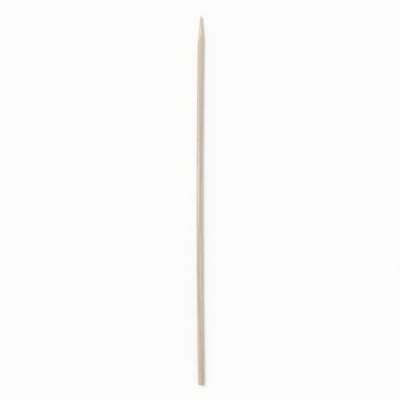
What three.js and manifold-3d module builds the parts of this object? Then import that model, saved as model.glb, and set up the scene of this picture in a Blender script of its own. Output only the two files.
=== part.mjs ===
// A bamboo skewer, 8 inches long and 3 mm thick. Units are millimetres and +Z is up.
// It lies on the surface z = 0, along Y, with its point towards +Y and its sawn butt towards -Y.
// The origin is under the middle of its box.
import * as THREE from "three";
import { mergeVertices } from "three/addons/utils/BufferGeometryUtils.js";
import Module from "manifold-3d";

const wasm = await Module();
wasm.setup();

// Driving dimensions
const length = 203.2; // butt to tip
const diameter = 3; // of the round groove that the stick is cut in
const seamWidth = 0.8; // flat along the top and bottom, where the web to the next stick broke off
const bow = 0.8; // how far the middle stands off the straight line between the ends, towards -X
const pointLength = 14; // tip to shoulder
const tipRadius = 0.3; // blunt end of the point
const pointBelly = 0.05; // how far the point's side stands out from a straight cone
const pointOffCentre = 0.08; // from the stick's axis to the axis that the point is ground about
const buttRounding = 0.15; // edge of the butt, worn round by tumbling

// Fineness of the facets
const sideFacets = 12; // round each half of the stick
const turnFacets = 36; // round the ground point and the butt
const stationSpacing = 5; // along the stick
const curveFacets = 6; // along the point's side, and round each small edge

const radius = diameter / 2;
const seamHeight = Math.sqrt(radius ** 2 - (seamWidth / 2) ** 2); // axis to flat
const buttEnd = -length / 2;
const tipEnd = length / 2;
const sawingAllowance = 2; // the stick is this much longer at each end before it is cut
const clearRadius = radius + bow + 1; // a cutting form stays outside the stick beyond this

// The bow is a shallow parabola, with the box's middle at x = 0.
function bowAt(y) {
  const fromMiddle = y / (length / 2);
  return bow * (fromMiddle ** 2 - 0.5);
}

function bend(geometry) {
  const places = geometry.getAttribute("position");
  for (let i = 0; i < places.count; i++) {
    places.setX(i, places.getX(i) + bowAt(places.getY(i)));
  }
  return geometry;
}

// Two half rounds, cut from above and below, that meet the flats where neighbouring sticks parted.
function stickSection() {
  const seamAngle = Math.asin(seamWidth / 2 / radius);
  const flatStart = Math.PI / 2 - seamAngle;
  const section = new THREE.Shape();
  section.absarc(0, 0, radius, -flatStart, flatStart, false);
  section.absarc(0, 0, radius, Math.PI - flatStart, Math.PI + flatStart, false);
  return section;
}

function longStick() {
  const depth = length + 2 * sawingAllowance;
  const geometry = new THREE.ExtrudeGeometry(stickSection(), {
    depth,
    steps: Math.ceil(depth / stationSpacing),
    curveSegments: sideFacets,
    bevelEnabled: false,
  });
  return geometry.rotateX(-Math.PI / 2).translate(0, -depth / 2, 0);
}

// Everything that the saw and the tumbling leave of the butt, and more than the whole stick beyond it.
function buttForm() {
  const outline = new THREE.Path();
  const roundingTop = buttEnd + buttRounding;
  outline.moveTo(0, buttEnd);
  outline.lineTo(radius - buttRounding, buttEnd);
  outline.absarc(radius - buttRounding, roundingTop, buttRounding, -Math.PI / 2, 0, false);
  outline.lineTo(clearRadius, roundingTop + clearRadius - radius);
  outline.lineTo(clearRadius, tipEnd + sawingAllowance);
  outline.lineTo(0, tipEnd + sawingAllowance);
  return new THREE.LatheGeometry(outline.getPoints(curveFacets), turnFacets);
}

// The point as it is ground: a blunt tip, a slightly bellied side that runs out past the stick,
// and more than the whole stick before it.
function pointForm() {
  const tipCentre = tipEnd - tipRadius;
  const halfAngle = Math.atan2(radius - tipRadius, pointLength);
  const shoulder = new THREE.Vector2(radius, tipEnd - pointLength);
  const sideStart = new THREE.Vector2(Math.cos(halfAngle), Math.sin(halfAngle));
  sideStart.multiplyScalar(tipRadius).add(new THREE.Vector2(0, tipCentre));
  const outward = new THREE.Vector2(Math.cos(halfAngle), Math.sin(halfAngle));
  const belly = shoulder.clone().lerp(sideStart, 0.5).addScaledVector(outward, 2 * pointBelly);
  const runOut = shoulder.clone().sub(belly);
  runOut.multiplyScalar((clearRadius - radius) / runOut.x).add(shoulder);

  const outline = new THREE.Path();
  outline.moveTo(0, buttEnd - sawingAllowance);
  outline.lineTo(clearRadius, buttEnd - sawingAllowance);
  outline.lineTo(runOut.x, runOut.y);
  outline.lineTo(shoulder.x, shoulder.y);
  outline.quadraticCurveTo(belly.x, belly.y, sideStart.x, sideStart.y);
  outline.absarc(0, tipCentre, tipRadius, halfAngle, Math.PI / 2, false);
  const form = new THREE.LatheGeometry(outline.getPoints(curveFacets), turnFacets);
  return form.translate(pointOffCentre, 0, 0);
}

function toSolid(geometry) {
  const bare = geometry.clone().deleteAttribute("normal").deleteAttribute("uv");
  const merged = mergeVertices(bare);
  return new wasm.Manifold(
    new wasm.Mesh({
      numProp: 3,
      vertProperties: merged.getAttribute("position").array,
      triVerts: new Uint32Array(merged.index.array),
    }),
  );
}

function toGeometry(solid) {
  const { vertProperties, triVerts } = solid.getMesh();
  const geometry = new THREE.BufferGeometry();
  geometry.setAttribute("position", new THREE.BufferAttribute(vertProperties, 3));
  geometry.setIndex(new THREE.BufferAttribute(triVerts, 1));
  const faceted = geometry.toNonIndexed();
  faceted.computeVertexNormals();
  return faceted;
}

const bamboo = new THREE.MeshStandardMaterial({
  name: "bamboo",
  color: 0xdcc9ab,
  roughness: 0.6,
  metalness: 0,
});

function makeSkewer() {
  const [stick, butt, point] = [longStick(), buttForm(), pointForm()].map((form) => toSolid(bend(form)));
  const skewer = new THREE.Mesh(toGeometry(stick.intersect(butt).intersect(point)), bamboo);
  skewer.name = "skewer";
  skewer.position.z = seamHeight; // it rests on its lower flat
  return skewer;
}

const part = new THREE.Group();
part.name = "bamboo_skewer";
part.add(makeSkewer());

export default part;
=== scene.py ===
import math

import bmesh
import bpy
from mathutils import Matrix, Vector, noise


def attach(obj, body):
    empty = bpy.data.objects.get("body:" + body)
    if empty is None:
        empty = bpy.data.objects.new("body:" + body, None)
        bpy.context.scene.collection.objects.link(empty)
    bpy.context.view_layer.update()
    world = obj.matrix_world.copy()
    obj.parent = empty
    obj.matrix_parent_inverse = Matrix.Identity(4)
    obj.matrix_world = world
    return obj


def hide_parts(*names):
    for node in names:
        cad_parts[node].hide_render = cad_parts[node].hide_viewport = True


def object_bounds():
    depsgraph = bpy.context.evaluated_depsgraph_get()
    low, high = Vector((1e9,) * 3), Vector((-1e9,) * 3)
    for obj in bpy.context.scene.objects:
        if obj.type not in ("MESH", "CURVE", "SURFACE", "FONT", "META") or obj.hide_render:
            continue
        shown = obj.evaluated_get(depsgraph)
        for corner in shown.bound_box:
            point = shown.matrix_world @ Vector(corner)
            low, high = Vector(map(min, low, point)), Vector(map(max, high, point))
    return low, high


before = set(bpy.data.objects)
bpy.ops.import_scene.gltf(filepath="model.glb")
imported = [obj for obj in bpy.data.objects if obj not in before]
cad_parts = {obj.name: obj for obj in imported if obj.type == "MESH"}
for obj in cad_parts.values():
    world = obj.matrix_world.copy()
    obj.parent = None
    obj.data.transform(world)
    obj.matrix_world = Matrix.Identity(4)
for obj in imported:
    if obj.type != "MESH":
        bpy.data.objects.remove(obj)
cadLow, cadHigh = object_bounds()
millimetre = 0.001

# the stick as it is cut, ground and sawn, in millimetres
skewer = {
    "length": 203.2,
    "diameter": 3.0,
    "seamWidth": 0.8,              # flats where the thin web between two grooves broke off
    "bow": 0.8,
    "pointLength": 14.0,
    "tipRadius": 0.3,
    "pointBelly": 0.05,
    "pointOffCentre": 0.08,
    "buttRounding": 0.15,

    # how fine the mesh is
    "sidesRound": 120,
    "shaftSpacing": 1.1,           # between rings along the shaft
    "buttSpacing": 0.1,            # just above the sawn edge, growing from there to the shaft's
    "spacingGrowth": 0.5,
    "pointSpacing": 0.2,           # along the ground point, from a little before its shoulder
    "shoulderLead": 3.0,
    "edgeSpacing": 0.03,           # round the small edges at both ends
    "lastRing": 0.002,             # from the very tip
    "endFaceRings": 8,

    # how deep the surface is worn or torn, each with its patterns per millimetre across and along
    "ribDepth": 0.02,              # lengthwise ribs that the cutters leave
    "ribScale": (3.1, 0.03),
    "furrowDepth": 0.05,           # a few bundles torn out of the surface
    "furrowScale": (2.3, 0.022),
    "furrowLevel": 0.28,           # fewer of them as this goes up
    "wanderDepth": 0.025,          # slow change of thickness along the stick
    "wanderScale": (0.4, 0.03),
    "seamTearDepth": 0.03,         # broken fibres along the flats
    "seamTearScale": (6.0, 0.35),
    "edgeChipDepth": 0.06,         # fibres broken from the sawn edge
    "edgeChipScale": (4.0, 0.0),
    "edgeChipReach": 0.5,
    "endGrainDepth": 0.03,         # pores in the sawn face
    "endGrainScale": (2.6, 0.0),
    "endGrainMargin": 0.15,

    # the torn surface starts this far under a flat, and comes in over these heights
    "flatMargin": 0.12,
    "flatShapeBlend": 0.1,
    "flatLookBlend": 0.08,
    "thinEnd": 0.6,                # where the stick is thinner than this, the wear gets shallower
}
radius = skewer["diameter"] / 2
seamHeight = math.sqrt(radius ** 2 - (skewer["seamWidth"] / 2) ** 2)
buttEnd, tipEnd = -skewer["length"] / 2, skewer["length"] / 2
shoulder = tipEnd - skewer["pointLength"]
tipCentre = tipEnd - skewer["tipRadius"]
pointSlope = math.atan2(radius - skewer["tipRadius"], skewer["pointLength"])
sideEnd = tipCentre + skewer["tipRadius"] * math.sin(pointSlope)    # where the blunt tip takes over
smallest = 1e-6                    # in place of zero, where a size is divided by it


# sRGB hex to the linear colour that a socket takes
def hexColour(code):
    parts = [int(code[i:i + 2], 16) / 255 for i in (1, 3, 5)]
    return tuple(c / 12.92 if c <= 0.04045 else ((c + 0.055) / 1.055) ** 2.4 for c in parts) + (1.0,)


# a value or a link for one input
def feed(tree, socket, value):
    if isinstance(value, bpy.types.NodeSocket):
        tree.links.new(value, socket)
    else:
        socket.default_value = value


# a node with its settings and inputs
def addNode(tree, kind, settings=None, inputs=None):
    node = tree.nodes.new(kind)
    for name, value in (settings or {}).items():
        setattr(node, name, value)
    for name, value in (inputs or {}).items():
        feed(tree, node.inputs[name], value)
    return node


def smoothStep(t):
    t = min(max(t, 0.0), 1.0)
    return t * t * (3 - 2 * t)


def bowAt(y):
    return skewer["bow"] * ((2 * y / skewer["length"]) ** 2 - 0.5)


# how far the ground side stands from the axis that the point is ground about
def groundRadius(y):
    if y > sideEnd:
        return math.sqrt(max(skewer["tipRadius"] ** 2 - (y - tipCentre) ** 2, 0.0))
    t = (y - shoulder) / (sideEnd - shoulder)
    cone = radius + (skewer["tipRadius"] - radius) * t
    belly = 4 * skewer["pointBelly"] * (t * (1 - t) if t > 0 else t)
    return cone + belly


# how wide the worn sawn edge leaves the stick, this far along it
def buttRadius(y):
    rounding = skewer["buttRounding"]
    below = max(rounding - (y - buttEnd), 0.0)
    return radius - rounding + math.sqrt(max(rounding ** 2 - below ** 2, 0.0))


# from a point at x to a circle round the stick's axis, along a ray
def rayToCircle(x, size, angle):
    return -x * math.cos(angle) + math.sqrt(max(size ** 2 - (x * math.sin(angle)) ** 2, 0.0))


# fine rings round the edges, close ones along the point, wide ones along the shaft
def ringPlaces():
    places, y = [], buttEnd
    while y < tipEnd - 2 * skewer["lastRing"]:
        places.append(y)
        if y < buttEnd + skewer["buttRounding"] or y > tipCentre:
            y += skewer["edgeSpacing"]
        elif y > shoulder - skewer["shoulderLead"]:
            y += skewer["pointSpacing"]
        else:
            y += min(skewer["shaftSpacing"], skewer["buttSpacing"] + (y - buttEnd) * skewer["spacingGrowth"])
    return places + [tipEnd - skewer["lastRing"]]


# Even noise, drawn out along the stick. The fibres run straight along Y, so it holds across the ground and
# sawn faces too. The start moves it, so that no two patterns agree.
def fibreNoise(x, y, z, scale, start=(0, 0, 0)):
    across, along = skewer[scale]
    return noise.noise(Vector((x * across + start[0], y * along + start[1], z * across + start[2])))


# how much a height belongs to one of the two flats
def onFlat(z, blend):
    return smoothStep((abs(z) - seamHeight + skewer["flatMargin"]) / skewer[blend])


def surfaceLoss(x, y, z):
    ribs = 0.5 + 0.5 * fibreNoise(x, y, z, "ribScale")
    torn = 2 * max(fibreNoise(x, y, z, "furrowScale", (9, 0, 0)) - skewer["furrowLevel"], 0.0)
    wander = 0.5 + 0.5 * fibreNoise(x, y, z, "wanderScale", (0, 5, 0))
    tear = 0.5 + 0.5 * fibreNoise(x, y, z, "seamTearScale", (0, 0, 3))
    chips = max(fibreNoise(x, y, z, "edgeChipScale", (0, 1, 0)), 0.0)
    chipping = 1 - smoothStep((y - buttEnd) / skewer["edgeChipReach"])
    loss = (skewer["ribDepth"] * ribs + skewer["furrowDepth"] * torn + skewer["wanderDepth"] * wander
            + skewer["seamTearDepth"] * onFlat(z, "flatShapeBlend") * tear)
    return loss + skewer["edgeChipDepth"] * chipping * chips


# Three things stay with each point for the material and its layout: where it was in the straight stick, how
# it was finished (ground, sawn, torn flat), and where it stands round and along the stick.
def shapeSide(bm, places):
    grain = bm.verts.layers.float_vector.new("grain")
    finish = bm.verts.layers.float_vector.new("finish")
    turned = bm.verts.layers.float_vector.new("turned")
    half = (len(places) - 1) / 2
    for v in bm.verts:
        angle = math.atan2(v.co.y, v.co.x)
        y = places[round(v.co.z + half)]
        onPoint = smoothStep((y - shoulder) / skewer["pointLength"])
        centre = skewer["pointOffCentre"] * onPoint
        stick = min(rayToCircle(centre, radius, angle), seamHeight / max(abs(math.sin(angle)), smallest))
        ground = rayToCircle(centre - skewer["pointOffCentre"], groundRadius(y), angle)
        sawn = rayToCircle(centre, buttRadius(y), angle)
        out = min(stick, ground, sawn)
        x, z = centre + out * math.cos(angle), out * math.sin(angle)
        out -= surfaceLoss(x, y, z) * min(out / skewer["thinEnd"], 1.0)
        x, z = centre + out * math.cos(angle), out * math.sin(angle)
        v[grain] = (x, y, z)
        v[finish] = (1.0 if ground < stick else 0.0, 0.0, onFlat(z, "flatLookBlend"))
        v[turned] = (angle, y, 0)
        v.co = (x + bowAt(y), y, z + seamHeight)


# the sawn face gets rings of its own, and both caps close in a fan
def closeEnds(bm):
    grain = bm.verts.layers.float_vector["grain"]
    finish = bm.verts.layers.float_vector["finish"]
    turned = bm.verts.layers.float_vector["turned"]
    butt = [f for f in bm.faces if len(f.verts) > 4 and f.calc_center_median().y < 0]
    faceCentre = Matrix.Translation((-bowAt(buttEnd), 0, -seamHeight))
    for left in range(skewer["endFaceRings"], 0, -1):
        bmesh.ops.inset_individual(bm, faces=butt, thickness=0)
        shrink = left / (left + 1)
        bmesh.ops.scale(bm, vec=(shrink, 1, shrink), space=faceCentre, verts=butt[0].verts)
    caps = [f for f in bm.faces if len(f.verts) > 4]
    middles = bmesh.ops.poke(bm, faces=caps, offset=0, center_mode="MEAN")["verts"]
    for v in middles:
        v[turned] = (0, 0, 0)      # a middle stands nowhere round the stick
        v[grain] = (v.co.x - bowAt(v.co.y), v.co.y, v.co.z - seamHeight)
    for v in bm.verts:
        if v.co.y < buttEnd + skewer["lastRing"]:
            x, z = v.co.x - bowAt(buttEnd), v.co.z - seamHeight
            pores = max(fibreNoise(x, 0, z, "endGrainScale", (0, 4, 0)), 0.0)
            fromEdge = radius - skewer["buttRounding"] - math.hypot(x, z)
            v[grain] = (x, buttEnd, z)
            v[finish] = (0.0, 1.0, 0.0)
            v.co.y += skewer["endGrainDepth"] * pores * smoothStep(fromEdge / skewer["endGrainMargin"])


def skewerMesh():
    places = ringPlaces()
    bm = bmesh.new()
    bmesh.ops.create_cone(bm, cap_ends=True, cap_tris=False, segments=skewer["sidesRound"],
                          radius1=radius, radius2=radius, depth=len(places) - 1)
    longEdges = [e for e in bm.edges if abs(e.verts[0].co.z - e.verts[1].co.z) > 0.5]
    bmesh.ops.subdivide_edges(bm, edges=longEdges, cuts=len(places) - 2, use_grid_fill=True)
    shapeSide(bm, places)
    closeEnds(bm)
    for v in bm.verts:
        v.co *= millimetre
    return bm


# How the surface lies in the picture that it is baked to. The sawn face is a disc. The side is unrolled in
# one strip that is wide for its length, so that fine fibres get their share of the picture, with more of
# its length for the ground point and the butt's edge than for the shaft.
layoutPlan = {
    "stripStart": 0.004,
    "stripWidth": 0.99,
    "stripStops": [(buttEnd, 0.205), (buttEnd + 1, 0.23), (shoulder - 2, 0.76), (tipEnd, 0.995)],
    "discCentre": (0.1, 0.096),
    "discScale": 0.06,
}


def stripPlace(y):
    stops = layoutPlan["stripStops"]
    for (startY, startV), (endY, endV) in zip(stops, stops[1:]):
        if y <= endY:
            return startV + (endV - startV) * (y - startY) / (endY - startY)
    return stops[-1][1]


def layOutSurface(bm):
    turned = bm.verts.layers.float_vector["turned"]
    finish = bm.verts.layers.float_vector["finish"]
    grain = bm.verts.layers.float_vector["grain"]
    layout = bm.loops.layers.uv.new("OFBake")
    discU, discV = layoutPlan["discCentre"]
    for f in bm.faces:
        if all(v[finish].y > 0.5 for v in f.verts):
            for loop in f.loops:
                place = loop.vert[grain] * layoutPlan["discScale"]
                loop[layout].uv = (discU + place.x, discV + place.z)
            continue
        # a face that crosses the strip's edge keeps to one side, and the tip's middle lies over its own face
        angles = {v: v[turned].x for v in f.verts if v[turned].y != 0}
        wraps = max(angles.values()) - min(angles.values()) > math.pi
        turns = {v: a + 2 * math.pi if wraps and a < 0 else a for v, a in angles.items()}
        middle = sum(turns.values()) / len(turns)
        for loop in f.loops:
            along = loop.vert[turned].y if loop.vert in turns else tipEnd
            across = (turns.get(loop.vert, middle) + math.pi) / (2 * math.pi)
            stripU = layoutPlan["stripStart"] + layoutPlan["stripWidth"] * across
            loop[layout].uv = (stripU, stripPlace(along))


# Split and planed bamboo, rounded between cutters and bleached pale: dry and matt, straw coloured. Browner
# fibre bundles run its whole length, close together on the side that was the culm's outer wall. They show
# as lines along the stick, run out in flecks on the ground point and end as dots on the sawn face.
bambooLook = {
    "paleStraw": "#ece2d1",
    "straw": "#e2d3c0",
    "deepStraw": "#cab49d",
    "bundleBrown": "#a1866a",
    "poreBrown": "#745538",
    "freshlyGround": "#e2d5c0",
    "endGrain": "#c7af94",

    # Patterns per millimetre along x, y and z. A real fibre line is 0.1 to 0.3 mm wide, and the fibre lines
    # and tone bands are drawn about 0.5 and 1 to 2 mm wide, so that they show at the size of the picture.
    "toneBands": (0.8, 0.005, 0.8),
    "fibreLines": (2.0, 0.016, 2.0),
    "hairLines": (7.0, 0.06, 7.0),
    "wideBundles": (1.45, 1.45, 1.45),
    "closeBundles": (2.5, 2.5, 2.5),
    "flecks": (3.2, 0.16, 3.2),
    "tornSeam": (5.0, 0.5, 5.0),
    "grindingMarks": (1.1, 7.0, 1.1),
    "grainSlope": 0.15,                       # degrees between the fibres and the stick
    "outerWall": (0.55, 0.0, 0.83),           # towards the culm's outside

    # the two levels between which something comes in, and how much of it there is at each
    "bandStops": (0.38, 0.48, 0.58),
    "palerTowardsPoint": (-30.0, 80.0, 0.0, 0.35),
    "deeperTowardsButt": (20.0, -100.0, 0.0, 0.7),
    "deepFibres": (0.5, 0.62, 0.0, 0.8),
    "paleFibres": (0.46, 0.36, 0.0, 0.7),
    "brownHairs": (0.57, 0.75, 0.0, 0.4),
    "outerSide": (-0.6, 1.3, 0.0, 1.0),
    "wideSheath": (0.33, 0.16, 0.0, 1.0),     # distances from a bundle's middle, in patterns
    "closeSheath": (0.36, 0.18, 0.0, 1.0),
    "widePore": (0.12, 0.05, 0.0, 1.0),
    "closePore": (0.14, 0.06, 0.0, 1.0),
    "poreFlecks": (0.7, 0.78, 0.0, 0.6),
    "markTone": (0.52, 0.7, 0.0, 0.12),
    "seamTone": (0.45, 0.65, 0.05, 0.35),
    "fibreRoughness": (0.3, 0.7, 0.5, 0.72),

    # shares of the whole
    "sheathShare": 0.22,
    "poreShare": 0.3,
    "groundShare": 0.3,
    "sawnShare": 0.85,
    "markRelief": 1.5,
    "seamRelief": 1.5,
    "bumpStrength": 0.6,
    "bumpDepth": 0.00004,                     # metres
    "IOR": 1.5,
}


def splitBamboo():
    look = bambooLook
    material = bpy.data.materials.new("splitBamboo")
    material.use_nodes = True
    tree = material.node_tree
    shader = tree.nodes["Principled BSDF"]
    shader.inputs["IOR"].default_value = look["IOR"]
    grain = addNode(tree, "ShaderNodeAttribute", {"attribute_name": "grain"}).outputs["Vector"]
    finish = addNode(tree, "ShaderNodeAttribute", {"attribute_name": "finish"}).outputs["Vector"]
    finishes = addNode(tree, "ShaderNodeSeparateXYZ", inputs={"Vector": finish})
    groundPoint, sawnFace, seamFlat = finishes.outputs

    def streaks(name, detail, roughness=0.5):
        drawnOut = addNode(tree, "ShaderNodeMapping", inputs={"Vector": grain, "Scale": look[name]})
        pattern = {"Vector": drawnOut.outputs["Vector"], "Scale": 1.0}
        pattern.update({"Detail": detail, "Roughness": roughness})
        return addNode(tree, "ShaderNodeTexNoise", inputs=pattern).outputs["Fac"]

    # seen along the stick, so that every bundle runs its whole length, at a slight slope to it
    def bundleDistance(name):
        turn = (math.radians(90 + look["grainSlope"]), 0, 0)
        endOn = {"Vector": grain, "Scale": look[name], "Rotation": turn}
        across = addNode(tree, "ShaderNodeMapping", inputs=endOn).outputs["Vector"]
        pattern = {"Vector": across, "Scale": 1.0}
        cells = addNode(tree, "ShaderNodeTexVoronoi", {"voronoi_dimensions": "2D"}, pattern)
        return cells.outputs["Distance"]

    def spread(value, name):
        low, high, bottom, top = look[name]
        limits = {"Value": value, "From Min": low, "From Max": high, "To Min": bottom, "To Max": top}
        blend = addNode(tree, "ShaderNodeMapRange", {"interpolation_type": "SMOOTHSTEP"}, limits)
        return blend.outputs["Result"]

    def reckon(operation, a, b):
        return addNode(tree, "ShaderNodeMath", {"operation": operation}, {0: a, 1: b}).outputs["Value"]

    def times(a, b):
        return reckon("MULTIPLY", a, b)

    def laidOver(below, above, amount):
        mix = addNode(tree, "ShaderNodeMix", {"data_type": "RGBA"}, {"Factor": amount})
        for socket, colour in zip((mix.inputs[6], mix.inputs[7]), (below, above)):
            feed(tree, socket, hexColour(colour) if isinstance(colour, str) else colour)
        return mix.outputs[2]

    # ground tone in long bands, paler towards the point and deeper towards the butt
    bands = addNode(tree, "ShaderNodeValToRGB", inputs={"Fac": streaks("toneBands", 1.0)})
    elements = bands.color_ramp.elements
    elements.new(0.5)
    for element, place, colour in zip(elements, look["bandStops"], ("deepStraw", "straw", "paleStraw")):
        element.position = place
        element.color = hexColour(look[colour])
    tone = bands.outputs["Color"]
    along = addNode(tree, "ShaderNodeSeparateXYZ", inputs={"Vector": grain}).outputs["Y"]
    tone = laidOver(tone, look["paleStraw"], spread(along, "palerTowardsPoint"))
    tone = laidOver(tone, look["deepStraw"], spread(along, "deeperTowardsButt"))

    # fibres, then the bundles among them, each a brown sheath round a darker pore
    fibres = streaks("fibreLines", 3.0, 0.6)
    hairs = streaks("hairLines", 2.0, 0.6)
    tone = laidOver(tone, look["deepStraw"], spread(fibres, "deepFibres"))
    tone = laidOver(tone, look["paleStraw"], spread(fibres, "paleFibres"))
    tone = laidOver(tone, look["bundleBrown"], spread(hairs, "brownHairs"))
    facing = {0: grain, 1: look["outerWall"]}
    outward = addNode(tree, "ShaderNodeVectorMath", {"operation": "DOT_PRODUCT"}, facing).outputs["Value"]
    outer = spread(outward, "outerSide")
    wide, close = bundleDistance("wideBundles"), bundleDistance("closeBundles")
    sheath = reckon("MAXIMUM", spread(wide, "wideSheath"), times(spread(close, "closeSheath"), outer))
    pore = reckon("MAXIMUM", spread(wide, "widePore"), times(spread(close, "closePore"), outer))
    tone = laidOver(tone, look["bundleBrown"], times(sheath, look["sheathShare"]))
    tone = laidOver(tone, look["poreBrown"], times(pore, look["poreShare"]))
    tone = laidOver(tone, look["poreBrown"], spread(streaks("flecks", 1.0), "poreFlecks"))

    # what the grinding, the parting and the saw have left
    marks = streaks("grindingMarks", 1.0)
    torn = streaks("tornSeam", 2.0, 0.6)
    tone = laidOver(tone, look["freshlyGround"], times(groundPoint, look["groundShare"]))
    tone = laidOver(tone, look["bundleBrown"], times(groundPoint, spread(marks, "markTone")))
    tone = laidOver(tone, look["bundleBrown"], times(seamFlat, spread(torn, "seamTone")))
    sawnTone = laidOver(look["endGrain"], look["bundleBrown"], sheath)
    sawnTone = laidOver(sawnTone, look["poreBrown"], pore)
    tone = laidOver(tone, sawnTone, times(sawnFace, look["sawnShare"]))
    tree.links.new(tone, shader.inputs["Base Color"])

    # dry and matt, and a little shinier between the fibres
    tree.links.new(spread(fibres, "fibreRoughness"), shader.inputs["Roughness"])
    relief = reckon("ADD", reckon("ADD", hairs, fibres), times(times(marks, groundPoint), look["markRelief"]))
    relief = reckon("ADD", relief, times(times(torn, seamFlat), look["seamRelief"]))
    relief = reckon("SUBTRACT", relief, pore)
    depth = {"Height": relief, "Strength": look["bumpStrength"], "Distance": look["bumpDepth"]}
    tree.links.new(addNode(tree, "ShaderNodeBump", inputs=depth).outputs["Normal"], shader.inputs["Normal"])
    return material


def makeSkewer():
    bm = skewerMesh()
    layOutSurface(bm)
    bmesh.ops.recalc_face_normals(bm, faces=bm.faces)
    mesh = bpy.data.meshes.new("bambooSkewer")
    bm.to_mesh(mesh)
    bm.free()
    mesh.shade_smooth()
    piece = bpy.data.objects.new("bambooSkewer", mesh)
    bpy.context.collection.objects.link(piece)
    mesh.materials.append(splitBamboo())
    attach(piece, "root")
    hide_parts("skewer")
    print("skewer made:", len(mesh.polygons), "faces")


# a plain white table top, lit by a soft sun from the upper left and an even sky
studio = {
    "tableSize": 4.0,
    "table": "#fcfcfc",
    "tableRoughness": 0.9,
    "tableSpecular": 0.1,
    "sunStrength": 1.35,
    "sunAngle": 22,                # degrees across, for a soft edge to the shadow
    "sunTurn": (0, -38, -35),
    "sky": "#ffffff",
    "skyStrength": 0.66,
}


def layTable():
    bpy.ops.mesh.primitive_plane_add(size=studio["tableSize"])
    table = bpy.context.object
    table.name = "tableTop"
    material = bpy.data.materials.new("whiteTable")
    material.use_nodes = True
    shader = material.node_tree.nodes["Principled BSDF"]
    shader.inputs["Base Color"].default_value = hexColour(studio["table"])
    shader.inputs["Roughness"].default_value = studio["tableRoughness"]
    shader.inputs["Specular IOR Level"].default_value = studio["tableSpecular"]
    table.data.materials.append(material)
    print("table laid")


def lightStudio():
    sun = bpy.data.lights.new("softSun", "SUN")
    sun.energy = studio["sunStrength"]
    sun.angle = math.radians(studio["sunAngle"])
    lamp = bpy.data.objects.new("softSun", sun)
    lamp.rotation_euler = [math.radians(a) for a in studio["sunTurn"]]
    bpy.context.collection.objects.link(lamp)
    world = bpy.data.worlds.new("evenSky")
    world.use_nodes = True
    tree = world.node_tree
    sky = tree.nodes["Background"]
    sky.inputs["Color"].default_value = hexColour(studio["sky"])
    # what the camera and the gloss see of it is plain white, while its light stays at the level above
    rays = addNode(tree, "ShaderNodeLightPath").outputs
    seen = rays["Is Camera Ray"]
    for kind in ("Is Glossy Ray", "Is Transmission Ray"):
        both = addNode(tree, "ShaderNodeMath", {"operation": "ADD"}, {0: seen, 1: rays[kind]})
        seen = both.outputs["Value"]
    levels = {"Value": seen, "To Min": studio["skyStrength"], "To Max": 1.0}
    strength = addNode(tree, "ShaderNodeMapRange", inputs=levels)
    tree.links.new(strength.outputs["Result"], sky.inputs["Strength"])
    bpy.context.scene.world = world
    print("studio lit")


# straight above, with the point to the top of the picture
view = {
    "lens": 85,
    "sensor": 36,
    "shareOfHeight": 0.925,
    "clipStart": 0.01,
    "clipEnd": 10,
}


def setCamera():
    data = bpy.data.cameras.new("overheadCamera")
    data.lens = view["lens"]
    data.sensor_width = view["sensor"]
    data.clip_start = view["clipStart"]
    data.clip_end = view["clipEnd"]
    camera = bpy.data.objects.new("overheadCamera", data)
    seen = (cadHigh.y - cadLow.y) / view["shareOfHeight"]
    middle = (cadLow + cadHigh) / 2
    camera.location = (middle.x, middle.y, cadHigh.z + seen * view["lens"] / view["sensor"])
    bpy.context.collection.objects.link(camera)
    bpy.context.scene.camera = camera
    bpy.context.scene.view_settings.view_transform = "Standard"
    print("camera set")


makeSkewer()
layTable()
lightStudio()
setCamera()
